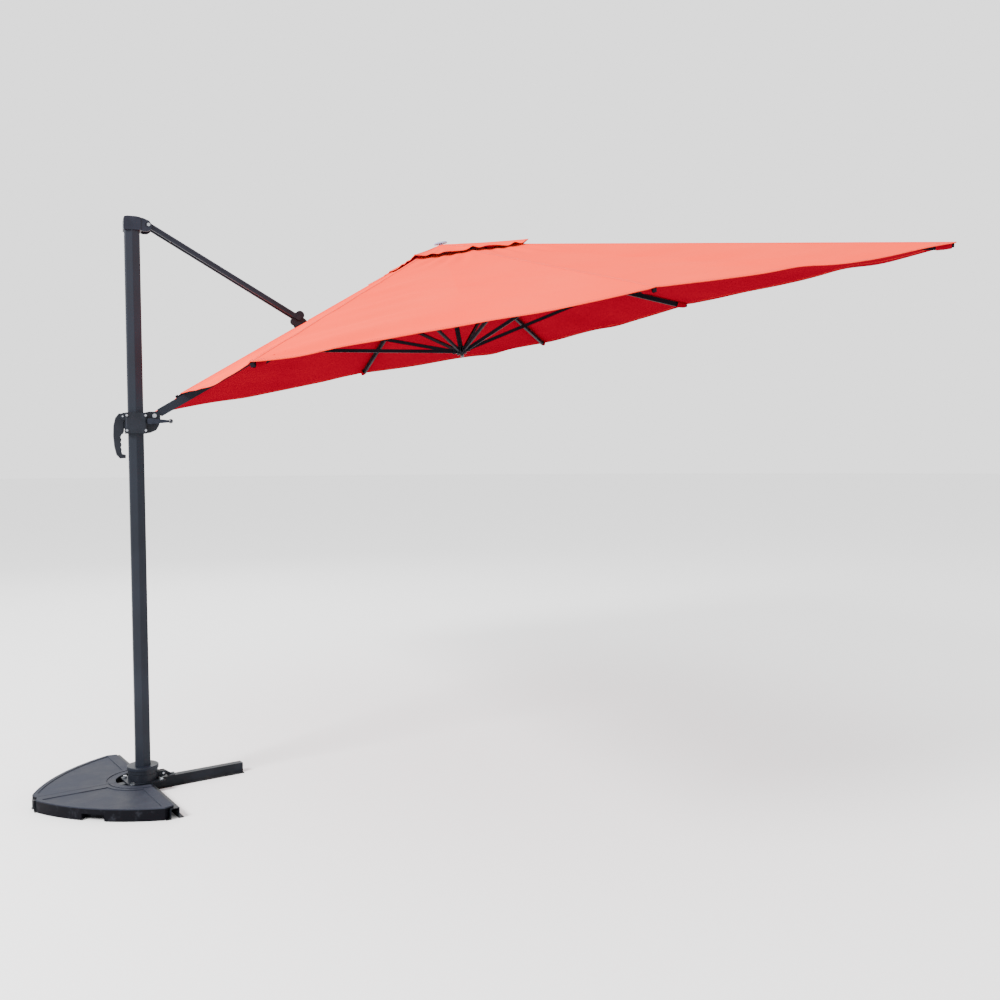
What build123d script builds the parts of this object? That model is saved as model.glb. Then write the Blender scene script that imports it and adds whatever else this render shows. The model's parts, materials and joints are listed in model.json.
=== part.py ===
from build123d import *
import os
from math import atan2, cos, degrees, hypot, pi, radians, sin, sqrt

# Cantilever parasol, millimetres. Origin: mast axis on the ground. +X runs out
# under the boom, +Y runs across the canopy's long side, +Z is up.

# ---- canopy ----
half_length = 1496          # rim plane, from its middle to the mast side or the far side
half_width = 2001           # rim plane, from its middle to the left or right side
peak_height = 564           # peak above the rim plane
rim_raise = 22              # a mid-side tip stands this far above the corners' plane
canopy_tilt = 11.4          # degrees, far side up
peak = Vector(1571.5, 0, 2766)
cloth = 1.0
vent_share, flap_share = 0.16, 0.21   # vent opening and its cover, as a share of the whole canopy
vent_lift, vent_rest = 22, 7  # the cover's edge stands off the canopy, least on the side towards the mast
rib_gap = 5                 # cloth to rib at the rim

# ---- ribs, struts, hub and runner, in the hub's frame (peak at 0, pole down -Z) ----
rib_width, rib_depth, rib_wall = 14, 26, 1.2
rib_toe, rib_toe_depth = 70, 15   # the last stretch of a rib is cut down to this depth
strut_width, strut_depth, strut_wall = 10, 18, 1.0
rib_circle, rib_pivot_z = 70, -43
clip_drop = 27              # strut pivot below the rib's centre line
pin_r = 3.0
running = 0.05              # radial clearance of a hinge pin
runner_circle, runner_z = 40, -575
strut_reach = 950           # rib pivot to strut pivot, along the far-side rib
pole_r, pole_end = 13.5, -590
boom_joint_x, boom_joint_z = -109, -71
corner_angle = degrees(atan2(half_width, half_length))
rib_names = {
    "far_left": corner_angle, "left": 90, "mast_left": 180 - corner_angle,
    "mast_right": 180 + corner_angle, "right": 270, "far_right": 360 - corner_angle, "far": 0,
}

# ---- mast ----
mast_half_x, mast_half_y, mast_ridge = 35, 29, 38
mast_wall = 2.5
mast_foot, mast_top = 126, 2735
cap_bottom, cap_top = 2710, 2774

# ---- boom, stay and carriage ----
boom_width, boom_depth, boom_wall = 30, 40, 2.0
rail_top = 27.5             # the canopy rail's top above the boom's centre line
carriage_bottom, carriage_top = 1742, 1842
carriage_half_x, carriage_half_y = 48, 49
screw_x = 42.5              # shell screws stand this far out from the mast axis
handle_axis = Vector(-60, 0, 1824)
boom_pivot = Vector(85, 0, 1828)
stay_pivot = Vector(75, 0, 2740)
stay_pitch = 865            # boom pivot to the stay bracket, along the boom
stay_rise = 65              # bracket pin above the boom's centre line
stay_bar, stay_depth, stay_gap = 10, 24, 19.8
closed_boom = 86.5          # degrees above level when folded against the mast
crank_axis = Vector(64, 0, 1800)
crank_length = 90
knob_r = 11

# ---- base ----
arm_turn = 12               # degrees, the steel cross is turned on the ground
arm_length, arm_height, arm_web, arm_flange, arm_steel = 500, 50, 40, 20, 3
slab_height, slab_tip, slab_middle = 60, 494, 440
slab_wall = 3
grip_width, grip_depth, grip_height = 110, 84, 29
plate_half, plate_thick = 85, 6
collar_r, flange_r, collar_top = 70, 74, 110
spindle_r = 24
lug_axis = Vector(94, 0, 76)  # pedal pin


def box(x0, x1, y0, y1, z0, z1):
    return Pos((x0 + x1) / 2, (y0 + y1) / 2, (z0 + z1) / 2) * Box(abs(x1 - x0), abs(y1 - y0), abs(z1 - z0))


def post(x, y, r, z0, z1):
    return Pos(x, y, (z0 + z1) / 2) * Cylinder(r, abs(z1 - z0))


def pin(x, z, r, y0, y1):
    return Pos(x, (y0 + y1) / 2, z) * Rot(90, 0, 0) * Cylinder(r, abs(y1 - y0))


def slab_of(outline, y0, y1):
    """A flat plate with its outline in the XZ plane, from y0 to y1."""
    face = make_face(Polyline(*[(x, 0, z) for x, z in outline], close=True))
    return Pos(0, y1, 0) * extrude(face, amount=y1 - y0, dir=(0, -1, 0))


def rounded_slab(outline, radius, y0, y1):
    plate = slab_of(outline, y0, y1)
    return fillet(plate.edges().filter_by(Axis.Y), radius)


def group(place, *solids):
    """Separate solids of one node, each put in its place."""
    return Compound(children=[place * s for s in solids])


# ---- kinematics: one fold closes everything, so each joint's travel follows from its two ends ----
def frame_at(origin, elevation):
    a = radians(elevation)
    return Plane(origin=origin, x_dir=(cos(a), 0, sin(a)), z_dir=(-sin(a), 0, cos(a)))


hub_frame = frame_at(peak, canopy_tilt)
boom_tip = hub_frame.from_local_coords(Vector(boom_joint_x, 0, boom_joint_z))
boom_span = (boom_tip - boom_pivot).length
boom_rise = degrees(atan2(boom_tip.Z - boom_pivot.Z, boom_tip.X - boom_pivot.X))
boom_frame = frame_at(boom_pivot, boom_rise)
stay_pin = boom_frame.from_local_coords(Vector(stay_pitch, 0, stay_rise))
stay_span = (stay_pin - stay_pivot).length
stay_angle = degrees(atan2(stay_pin.Z - stay_pivot.Z, stay_pin.X - stay_pivot.X))


def closed_stay():
    """Carriage travel and stay angle once the boom stands folded."""
    a = radians(closed_boom)
    x = boom_pivot.X + stay_pitch * cos(a) - stay_rise * sin(a)
    z = boom_pivot.Z + stay_pitch * sin(a) + stay_rise * cos(a)
    low = stay_pivot.Z - sqrt(stay_span ** 2 - (x - stay_pivot.X) ** 2)
    return z - low, degrees(atan2(low - stay_pivot.Z, x - stay_pivot.X))


carriage_travel, stay_closed = closed_stay()


def rib_tip(azimuth):
    """Radius and height of the canopy's tip over a rib, in the hub's frame."""
    corner = azimuth % 90 > 0.01
    if corner:
        return hypot(half_length, half_width), -peak_height
    side = half_length if azimuth % 180 < 0.01 else half_width
    return side, -peak_height + rim_raise


def rib_slope(azimuth):
    radius, height = rib_tip(azimuth)
    return degrees(atan2(rib_pivot_z - (height - rib_depth / 2 - rib_gap), radius - rib_circle))


def strut_ends(pivot, slope, closed, reach, drop):
    """Strut pivot on the arm when open and when folded, in the arm's radial plane."""
    ends = []
    for a in (radians(slope), radians(closed)):
        ends.append((pivot[0] + reach * cos(a) - drop * sin(a), pivot[1] - reach * sin(a) - drop * cos(a)))
    return ends


def folded_runner(pivot, slope, closed, reach, drop):
    """Runner height that the strut of this arm asks for when everything is folded."""
    start, end = strut_ends(pivot, slope, closed, reach, drop)
    length = hypot(start[0] - runner_circle, start[1] - runner_z)
    return end[1] - sqrt(length ** 2 - (end[0] - runner_circle) ** 2)


runner_closed = folded_runner((rib_circle, rib_pivot_z), rib_slope(0), 90, strut_reach, clip_drop)
runner_travel = runner_z - runner_closed


def matching_reach(pivot, slope, closed, drop):
    """Strut pivot distance that brings this arm's strut to the same folded runner."""
    short, long = 700.0, 1200.0
    for _ in range(60):
        middle = (short + long) / 2
        if folded_runner(pivot, slope, closed, middle, drop) > runner_closed:
            short = middle
        else:
            long = middle
    return (short + long) / 2


def strut_turn(start, end, slope, closed):
    """How far a strut turns on its arm while the arm folds, in degrees."""
    opened = degrees(atan2(start[1] - runner_z, runner_circle - start[0]))
    folded = degrees(atan2(end[1] - runner_closed, runner_circle - end[0]))
    return (folded - opened) - (closed - slope)


def radial_frame(azimuth, radius, height, slope):
    """Plane in the hub's frame whose x runs out and down an arm from its pivot."""
    a, b = radians(azimuth), radians(slope)
    return Plane(
        origin=(radius * cos(a), radius * sin(a), height),
        x_dir=(cos(b) * cos(a), cos(b) * sin(a), -sin(b)),
        z_dir=(sin(b) * cos(a), sin(b) * sin(a), cos(b)),
    )


def in_hub(plane, part):
    return hub_frame.location * plane.location * part


arms = {}
for name, azimuth in rib_names.items():
    slope = rib_slope(azimuth)
    pivot = (rib_circle, rib_pivot_z)
    reach = matching_reach(pivot, slope, 90, clip_drop)
    start, end = strut_ends(pivot, slope, 90, reach, clip_drop)
    arms[name] = dict(azimuth=azimuth, pivot=pivot, slope=slope, closed=90,
                      reach=reach, start=start, end=end)
boom_slope = boom_rise - canopy_tilt
lug_drop = boom_depth / 2 + strut_depth / 2 + 4
pivot = (-boom_joint_x, boom_joint_z)
reach = matching_reach(pivot, boom_slope, closed_boom, lug_drop)
start, end = strut_ends(pivot, boom_slope, closed_boom, reach, lug_drop)
arms["mast"] = dict(azimuth=180, pivot=pivot, slope=boom_slope, closed=closed_boom,
                    reach=reach, start=start, end=end)
for arm in arms.values():
    arm["strut"] = hypot(arm["start"][0] - runner_circle, arm["start"][1] - runner_z)
    arm["turn"] = strut_turn(arm["start"], arm["end"], arm["slope"], arm["closed"])


# ---- base ----
def hat_beam():
    w, h, f, t = arm_web / 2, arm_height, arm_flange, arm_steel
    outline = [(w + f, 0), (w + f, t), (w, t), (w, h), (-w, h), (-w, t), (-w - f, t), (-w - f, 0),
               (-w + t, 0), (-w + t, h - t), (w - t, h - t), (w - t, 0)]
    face = make_face(Polyline(*[(0, y, z) for y, z in outline], close=True))
    return Pos(-arm_length, 0, 0) * extrude(face, amount=2 * arm_length, dir=(1, 0, 0))


def cross_beams():
    """Two full-length beams, half-lapped where they cross."""
    lap = arm_web / 2 + 0.5
    half = arm_height / 2
    wide = arm_web / 2 + arm_flange + 1
    lower = hat_beam() - box(-lap, lap, -wide, wide, half - 0.1, arm_height + 1)
    upper = Rot(0, 0, 90) * (hat_beam() - box(-wide, wide, -wide, wide, -1, half + 0.1))
    turn = Rot(0, 0, arm_turn)
    return turn * lower, turn * upper


def slab_outline(edge, inset, near):
    """Rounded triangle between two arms, its inner corner cut round for the foot."""
    bulge, shoulder = slab_middle / sqrt(2), arm_web / 2 + 25
    outer = ThreePointArc((slab_tip, shoulder), (bulge, bulge), (shoulder, slab_tip))
    sides = Polyline((shoulder, slab_tip), (edge, slab_tip - 12), (edge, edge), (slab_tip - 12, edge),
                     (slab_tip, shoulder))
    face = make_face(Curve() + [outer, sides])
    if inset:
        face = offset(face, amount=-inset, kind=Kind.INTERSECTION)
    return face - Circle(near)


def hand_grip(floor, grow):
    """Notch under the middle of a slab's outer edge, grown by a wall's thickness where asked."""
    size = (grip_depth + 2 * grow, grip_width + 2 * grow, 2 * (grip_height + grow))
    return Rot(0, 0, 45) * (Pos(slab_middle + 4, 0, floor) * Box(*size))


def slab(turn):
    """Hollow plastic shell of a ballast slab, and the filling sealed inside it."""
    beside, over = arm_web / 2 + 3, 1.2       # beside the web, and a lip that reaches over half of it
    rest, lip = arm_steel + 0.3, arm_height + 0.3
    foot_r, groove_r, dish_depth = 126, 164, 3
    ceiling = slab_height - rest - dish_depth - 2 * slab_wall
    shell = Pos(0, 0, rest) * extrude(slab_outline(beside, 0, foot_r), amount=slab_height - rest)
    shell += Pos(0, 0, lip) * extrude(slab_outline(over, 0, foot_r), amount=slab_height - lip)
    dish = extrude(slab_outline(beside + 6, 20, groove_r + 22), amount=10)
    groove = Pos(0, 0, 10) * (Cylinder(groove_r + 4, 20) - Cylinder(groove_r - 4, 21))
    shell -= Pos(0, 0, slab_height - dish_depth) * dish
    shell -= Pos(0, 0, slab_height - dish_depth) * groove
    void = extrude(slab_outline(beside, slab_wall, foot_r + 4), amount=ceiling)
    void = Pos(0, 0, rest + slab_wall) * void - hand_grip(rest, 4)
    filling = extrude(slab_outline(beside, slab_wall + 0.5, foot_r + 4.5), amount=ceiling - 1)
    filling = Pos(0, 0, rest + slab_wall + 0.5) * filling - hand_grip(rest, 4.5)
    place = Rot(0, 0, turn)
    return place * (shell - hand_grip(rest, 0) - void), place * filling


def foot_plate():
    plate = box(-plate_half, plate_half, -plate_half, plate_half, arm_height, arm_height + plate_thick)
    plate = fillet(plate.edges().filter_by(Axis.Z), 10)
    for x in (-1, 1):
        for y in (-1, 1):
            plate -= post(68 * x, 68 * y, 5.6, arm_height - 1, arm_height + plate_thick + 1)
    return Rot(0, 0, arm_turn) * plate


def hex_bolt(x, y, z):
    head = Pos(x, y, z) * extrude(RegularPolygon(9.5, 6), amount=7)
    washer = post(x, y, 11, z - 2, z)
    shank = post(x, y, 5, z - 12, z)
    return head + washer + shank


def foot_bolts():
    z = arm_height + plate_thick + 2.1
    bolts = [hex_bolt(68 * x, 68 * y, z) for x in (-1, 1) for y in (-1, 1)]
    return group(Rot(0, 0, arm_turn), *bolts)


def foot_collar():
    z = arm_height + plate_thick
    drum = post(0, 0, collar_r, z, collar_top)
    drum -= Pos(0, 0, z + 34) * (Cylinder(collar_r + 5, 5) - Cylinder(collar_r - 3, 6))
    drum -= post(0, 0, spindle_r + 0.2, z - 1, collar_top + 1)
    drum -= box(54, 80, -8, 8, z + 12, z + 30)
    for side in (-1, 1):
        lug = rounded_slab([(62, 60), (104, 60), (104, 88), (62, 88)], 8, side * 13 - 3, side * 13 + 3)
        drum += lug - pin(lug_axis.X, lug_axis.Z, pin_r + running, side * 13 - 4, side * 13 + 4)
    return drum


def mast_spindle():
    z = arm_height + plate_thick
    tube = post(0, 0, spindle_r, z, 480) - post(0, 0, spindle_r - 4, z - 1, 481)
    return tube


def swivel_pedal():
    """Lever that is pressed with the foot: its nose leaves the collar and frees the mast."""
    outline = [(64, 71), (84, 68), (96, 67), (128, 60), (148, 60), (148, 65), (130, 68), (104, 86), (90, 86),
               (64, 80)]
    lever = slab_of(outline, -7, 7) + box(112, 148, -24, 24, 60, 64.5)
    return lever - pin(lug_axis.X, lug_axis.Z, pin_r + running, -30, 30)


def pedal_pin():
    x, z = lug_axis.X, lug_axis.Z
    return pin(x, z, pin_r, -18, 18) + pin(x, z, 5, -18.5, -16.3) + pin(x, z, 5, 16.3, 18.5)


# ---- mast ----
def mast_outline(grow):
    x, y, r = mast_half_x + grow, mast_half_y + grow, mast_ridge + grow
    face = make_face(Polyline((-x, -y), (0, -r), (x, -y), (x, y), (0, r), (-x, y), close=True))
    return fillet(face.vertices(), 9 + max(grow, -5))


def mast_piece(grow, z0, z1):
    return Pos(0, 0, z0) * extrude(mast_outline(grow), amount=z1 - z0)


def mast_tube():
    return mast_piece(0, mast_foot, mast_top) - mast_piece(-mast_wall, mast_foot - 1, mast_top + 1)


def mast_flange():
    """Round flange at the mast's foot; it turns on the collar."""
    disc = post(0, 0, flange_r, collar_top + 0.5, mast_foot)
    disc = fillet(disc.edges().group_by(Axis.Z)[-1], 4)
    return disc - post(0, 0, spindle_r + 0.3, 0, 200)


def mast_bush():
    rings = []
    for z in (mast_foot + 2, 430):
        rings.append(mast_piece(-mast_wall, z, z + 40) - post(0, 0, spindle_r + 0.3, z - 1, z + 41))
    return group(Location(), *rings)


def mast_cap():
    """Domed cap with a narrower hood that holds the upper end of the stay."""
    x0, x1, wide, hood = -mast_half_x - 4, mast_half_x + 4, mast_ridge + 3, mast_ridge
    outline = [(x0, cap_bottom), (x1, cap_bottom), (52, cap_bottom - 4), (72, cap_bottom - 3),
               (86, cap_bottom + 6), (90, cap_bottom + 30), (78, cap_top - 16), (52, cap_top - 6), (20, cap_top), (-22, cap_top),
               (-35, cap_top - 4), (x0, cap_top - 14)]
    cap = rounded_slab(outline, 3, -wide, wide)
    for side in (-1, 1):
        cap -= box(x1, 120, side * hood, side * 60, 2600, 2800)
        cap -= pin(stay_pivot.X - 3, stay_pivot.Z - 3, 13, side * (hood - 3), side * 60)
    cap -= mast_piece(0, cap_bottom - 10, mast_top)
    cap -= box(x1 + 4, 130, -stay_gap - stay_bar - 0.6, stay_gap + stay_bar + 0.6, 2600, cap_top - 20)
    cap -= pin(stay_pivot.X, stay_pivot.Z, 4, -50, 50)
    return cap


def stay_top_pin():
    x, z, reach = stay_pivot.X, stay_pivot.Z, mast_ridge - 3
    return pin(x, z, 4, -reach, reach) + pin(x, z, 8, -reach - 3, -reach) + pin(x, z, 8, reach, reach + 3)


# ---- stay ----
stay_frame = frame_at(stay_pivot, stay_angle)


def stay_bars():
    """Two hollow bars, one each side of the boom, with a groove along each face."""
    bars = []
    for side in (-1, 1):
        y = side * (stay_gap + stay_bar / 2)
        bar = box(0, stay_span, y - stay_bar / 2, y + stay_bar / 2, -stay_depth / 2, stay_depth / 2)
        for x in (0, stay_span):
            bar += pin(x, 0, stay_depth / 2, y - stay_bar / 2, y + stay_bar / 2)
        inner = box(20, stay_span - 22, y - 3.4, y + 3.4, -stay_depth / 2 + 2, stay_depth / 2 - 2)
        outer = side * (stay_gap + stay_bar)
        groove = box(30, stay_span - 40, outer - 1.2, outer + 1.2, -2.5, 2.5)
        bar = bar - inner - groove
        bar -= pin(0, 0, 4 + running, -60, 60)
        bar -= pin(stay_span, 0, 6, -60, 60)
        bars.append(bar)
    return group(stay_frame.location, *bars)


def stay_spacer():
    sleeve = pin(120, 0, 9, -stay_gap, stay_gap)
    return stay_frame.location * sleeve


def stay_end_studs():
    """Round studs at the bracket end of the bars, headed outside."""
    studs = []
    for side in (-1, 1):
        inner, outer = side * (stay_gap + 0.5), side * (stay_gap + stay_bar)
        studs.append(pin(stay_span, 0, 6, inner, outer) + pin(stay_span, 0, 13, outer, outer + side * 4))
    return group(stay_frame.location, *studs)


# ---- carriage, its handle and its crank ----
def screw_places():
    return [(x, z) for x in (-screw_x, screw_x) for z in (carriage_bottom + 14, carriage_top - 14)]


def carriage_shells():
    """Clamshell round the mast, with ears for the handle, a fork for the boom and the winch."""
    hx, hy = carriage_half_x, carriage_half_y
    body = [(-hx, carriage_bottom), (hx, carriage_bottom), (hx, carriage_top), (-hx, carriage_top)]
    lobe = [(38, 1744), (66, 1746), (92, 1758), (104, 1778), (111, 1800), (112, 1832),
            (100, 1848), (60, 1848), (38, 1842)]
    ear = [(-40, 1802), (-62, 1806), (-73, 1820), (-70, 1834), (-58, carriage_top - 1),
           (-40, carriage_top - 1)]
    halves = []
    for side in (-1, 1):
        half = fillet(slab_of(body, *sorted((side * 0.3, side * hy))).edges().filter_by(Axis.Z), 8)
        half += rounded_slab(lobe, 5, *sorted((side * 15.5, side * 27)))
        half += rounded_slab(ear, 3, *sorted((side * 17.5, side * 25)))
        for x, z in screw_places():
            half += pin(x, z, 7, *sorted((side * 34, side * (hy + 1.5))))
        half -= mast_piece(3.2, carriage_bottom - 1, carriage_top + 1)
        half -= box(-90, -mast_half_x - 1, -17, 17, 1700, 1900)
        for x, z in screw_places():
            half -= pin(x, z, 3.1, *sorted((side * -1, side * 60)))
        half -= pin(boom_pivot.X, boom_pivot.Z, 5, -60, 60)
        half -= pin(crank_axis.X, crank_axis.Z, 6 + running, -60, 60)
        half -= pin(handle_axis.X, handle_axis.Z, 4, -60, 60)
        halves.append(half)
    return halves


def carriage_screws():
    screws, face = [], carriage_half_y + 1.5
    for x, z in screw_places():
        heads = pin(x, z, 5.5, -face - 3.5, -face) + pin(x, z, 5.5, face, face + 3.5)
        screws.append(pin(x, z, 3, -face, face) + heads)
    return group(Location(), *screws)


def carriage_liner():
    """Two plastic bushes that slide on the mast."""
    rings = []
    for z in (carriage_bottom + 4, carriage_top - 28):
        ring = mast_piece(3.0, z, z + 24) - mast_piece(0.4, z - 1, z + 25)
        rings.append(ring - box(-60, -30, -18, 18, 1700, 1900))
    return group(Location(), *rings)


def boom_pivot_pin():
    x, z = boom_pivot.X, boom_pivot.Z
    return pin(x, z, 5, -27, 27) + pin(x, z, 10, -30, -27) + pin(x, z, 10, 27, 30)


def handle_pin():
    return pin(handle_axis.X, handle_axis.Z, 4, -26.5, 26.5)


def release_handle():
    """Curved pull handle with finger grooves; its nose presses the brake shoe on the mast."""
    back = [(-54, 1838), (-76, 1838), (-92, 1818), (-101, 1780), (-103, 1730), (-99, 1680),
            (-90, 1640), (-74, 1622), (-48, 1624), (-48, 1640), (-64, 1644), (-68, 1656), (-66, 1664),
            (-70, 1676), (-66, 1688), (-70, 1700), (-66, 1712), (-70, 1724), (-66, 1736), (-58, 1742),
            (-54, 1752)]
    grip = slab_of(back, -14, 14)
    edges = grip.edges().group_by(Axis.Y)
    grip = chamfer(edges[0] + edges[-1], 2.5)
    return grip - pin(handle_axis.X, handle_axis.Z, 4 + running, -30, 30)


def brake_shoe():
    return box(-53.4, -mast_half_x - 0.5, -14, 14, 1765, 1814)


def winch_drum():
    x, z = crank_axis.X, crank_axis.Z
    core = pin(x, z, 8, -12, 12) + pin(x, z, 11.5, -14, -12) + pin(x, z, 11.5, 12, 14)
    return core + pin(x, z, 6, -60, 27)


def crank_arm():
    x, z = crank_axis.X, crank_axis.Z
    outline = [(x - 14, z - 12), (x + 14, z - 12), (x + crank_length, z - 5), (x + crank_length, z + 5),
               (x + 14, z + 13), (x - 14, z + 13)]
    arm = rounded_slab(outline, 4, -72, -62)
    arm += pin(x, z, 15, -72, -56)
    arm += pin(x + crank_length, z, 4, -100, -66)
    return arm - pin(x, z, 6, -60, -50)


def crank_knob():
    x, z = crank_axis.X + crank_length, crank_axis.Z
    ball = Pos(x, -88, z) * Sphere(knob_r) + pin(x, z, 6.5, -97, -73)
    return ball - pin(x, z, 4 + running, -101, -60)


# ---- boom ----
def boom_tube():
    d, w = boom_depth / 2, boom_width / 2
    tube = box(0, boom_span - 6, -w, w, -d, d) - box(18, boom_span - 30, -w + 2, w - 2, -d + 2, d - 2)
    tube -= box(-1, 30, -20, 20, 14, 40) + box(-1, 30, -20, 20, -40, -14)
    tube += pin(0, 0, 14, -w, w)
    tube -= box(boom_span - 40, boom_span, -20, 20, 12, 40)
    tube -= box(boom_span - 40, boom_span, -20, 20, -40, -12)
    tube += pin(boom_span, 0, 12, -w, w)
    tube -= pin(0, 0, 5 + running, -20, 20) + pin(boom_span, 0, 5 + running, -20, 20)
    return boom_frame.location * tube


def stay_bracket():
    """Cheeks on both sides of the boom that rise through the canopy to the stay."""
    cheeks = []
    for side in (-1, 1):
        span = sorted((side * (boom_width / 2), side * (boom_width / 2 + 4)))
        cheek = rounded_slab([(835, -20), (900, -20), (895, 40), (880, 72), (850, 72), (830, 40)], 6, *span)
        cheek += pin(stay_pitch + 16, stay_rise + 8, 22, *span)
        cheek += pin(stay_pitch - 20, stay_rise - 6, 20, *span)
        cheek -= pin(stay_pitch, stay_rise, 6, -30, 30)
        cheeks.append(cheek)
    return group(boom_frame.location, *cheeks)


def canopy_rail():
    """Slim rail on the boom that carries the canopy's mast-side seam."""
    rim = boom_span - (half_length + boom_joint_x) / cos(radians(boom_slope))
    rail = box(rim - 20, boom_span - 110, -7, 7, boom_depth / 2, rail_top)
    tip = box(rim - 20, rim - 6, -7, 7, boom_depth / 2, rail_top + 5)
    return boom_frame.location * (rail + tip)


def strut_lug():
    x = boom_span - arms["mast"]["reach"]
    ears = []
    for side in (-1, 1):
        ear = rounded_slab([(x - 16, -boom_depth / 2), (x + 16, -boom_depth / 2), (x + 9, -lug_drop - 9),
                            (x - 9, -lug_drop - 9)], 4, *sorted((side * 5.6, side * 9)))
        ears.append(ear)
    saddle = box(x - 18, x + 18, -12, 12, -boom_depth / 2 - 3, -boom_depth / 2)
    lug = saddle + ears[0] + ears[1]
    return boom_frame.location * (lug - pin(x, -lug_drop, pin_r, -20, 20))


def lift_cord():
    """Cord inside the boom, from the winch to the hub."""
    return boom_frame.location * (Pos(boom_span / 2, 0, 0) * Rot(0, 90, 0) * Cylinder(2.5, boom_span - 80))


# ---- hub and pole ----
def hub():
    body = post(0, 0, 52, -66, -24) + post(0, 0, 20, -90, -66)
    for arm in arms.values():
        if arm["azimuth"] == 180:
            continue
        for side in (-1, 1):
            ear = box(40, 82, side * 10 - 2.5, side * 10 + 2.5, -56, -28)
            body += Rot(0, 0, arm["azimuth"]) * ear
        slot = box(42, 120, -7.4, 7.4, -120, 10)
        body -= Rot(0, 0, arm["azimuth"]) * slot
    for side in (-1, 1):
        lug = [(-122, -86), (-94, -86), (-40, -66), (-30, -30), (-60, -30), (-122, -58)]
        body += rounded_slab(lug, 3, *sorted((side * 15.4, side * 21)))
    body += post(0, 0, 24, -66, -24)
    body -= box(-140, -60, -15.4, 15.4, -120, 0)
    for arm in arms.values():
        if arm["azimuth"] != 180:
            body -= Rot(0, 0, arm["azimuth"]) * pin(rib_circle, rib_pivot_z, pin_r, -20, 20)
    body -= pin(boom_joint_x, boom_joint_z, 5, -30, 30)
    body -= post(0, 0, pole_r, -120, -60)
    return hub_frame.location * body


def rib_pins():
    pins = []
    for arm in arms.values():
        if arm["azimuth"] != 180:
            pins.append(Rot(0, 0, arm["azimuth"]) * pin(rib_circle, rib_pivot_z, pin_r, -12.5, 12.5))
    return group(hub_frame.location, *pins)


def hub_pin():
    return hub_frame.location * pin(boom_joint_x, boom_joint_z, 5, -24, 24)


def pole():
    tube = post(0, 0, pole_r, pole_end, -60) - post(0, 0, pole_r - 1.5, pole_end - 1, -62)
    return hub_frame.location * tube


def pole_ball():
    plug = post(0, 0, pole_r - 1.5, -596, pole_end + 10) + post(0, 0, 11, -598, pole_end)
    return hub_frame.location * (Pos(0, 0, -603) * Sphere(10) + plug)


def finial():
    disc = post(0, 0, 36, 3, 11) + post(0, 0, 9, -24, 3)
    return hub_frame.location * fillet(disc.edges().group_by(Axis.Z)[-1], 3)


def runner():
    """Toothed ring: a strut end sits in each slot, open above and below."""
    ring = post(0, 0, 27, runner_z - 22, runner_z + 22)
    for arm in arms.values():
        for side in (-1, 1):
            fin = box(20, 50, side * 8.1 - 1.9, side * 8.1 + 1.9, runner_z - 12, runner_z + 12)
            ring += Rot(0, 0, arm["azimuth"]) * fin
        ring -= Rot(0, 0, arm["azimuth"]) * box(28, 70, -6.1, 6.1, runner_z - 30, runner_z + 30)
    ring -= post(0, 0, 16.5, runner_z - 30, runner_z + 30)
    return hub_frame.location * ring


# ---- ribs and struts ----
def rib(arm):
    radius, height = rib_tip(arm["azimuth"])
    length = hypot(radius - rib_circle, height - rib_depth / 2 - rib_gap - rib_pivot_z) - 12
    w, d, t = rib_width / 2, rib_depth / 2, rib_wall
    toe = length - rib_toe
    outline = [(-9, -d), (toe, -d), (length, d - rib_toe_depth), (length, d), (-9, d)]
    bore = [(12, -d + t), (toe, -d + t), (length - 3, d - rib_toe_depth + t), (length - 3, d - t),
            (12, d - t)]
    tube = slab_of(outline, -w, w) - slab_of(bore, -w + t, w - t)
    tube = tube - pin(0, 0, pin_r + running, -20, 20)
    x = arm["reach"]
    for side in (-1, 1):
        ear = rounded_slab([(x - 15, -d + 6), (x + 15, -d + 6), (x + 8, -clip_drop - 8),
                            (x - 8, -clip_drop - 8)], 3, *sorted((side * (w + 0.1), side * (w + 2))))
        tube += ear + pin(x, -d + 10, 2, *sorted((side * (w - 0.5), side * (w + 3))))
    tube -= pin(x, -clip_drop, pin_r, -20, 20)
    plane = radial_frame(arm["azimuth"], rib_circle, rib_pivot_z, arm["slope"])
    return in_hub(plane, tube)


def strut(arm):
    """Thin tube with its own trunnion at the rib end and an eye at the runner end."""
    (x, z), length = arm["start"], arm["strut"]
    slope = degrees(atan2(z - runner_z, x - runner_circle))
    w, d, t = strut_width / 2, strut_depth / 2, strut_wall
    tube = box(0, length, -w, w, -d, d) - box(14, length - 14, -w + t, w - t, -d + t, d - t)
    tube -= box(-1, 14, -9, 9, 7, 12) + box(-1, 14, -9, 9, -12, -7)
    tube += pin(0, 0, 7, -w, w) + pin(length, 0, 9, -w, w)
    tube -= pin(0, 0, 2.5, -9, 9)
    reach = w + 0.5 + (3.4 if arm["azimuth"] == 180 else 3.9)
    tube += pin(length, 0, pin_r - running, -reach, reach)
    plane = radial_frame(arm["azimuth"], runner_circle, runner_z, -slope)
    return in_hub(plane, tube)


# ---- canopy cloth, a plain closed skin ----
def skin_point(azimuth, share, lift):
    """Point on the outer surface over an arm, at a share of the way from peak to rim."""
    radius, height = rib_tip(azimuth)
    a = radians(azimuth)
    return Vector(share * radius * cos(a), share * radius * sin(a), share * height + lift)


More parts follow.
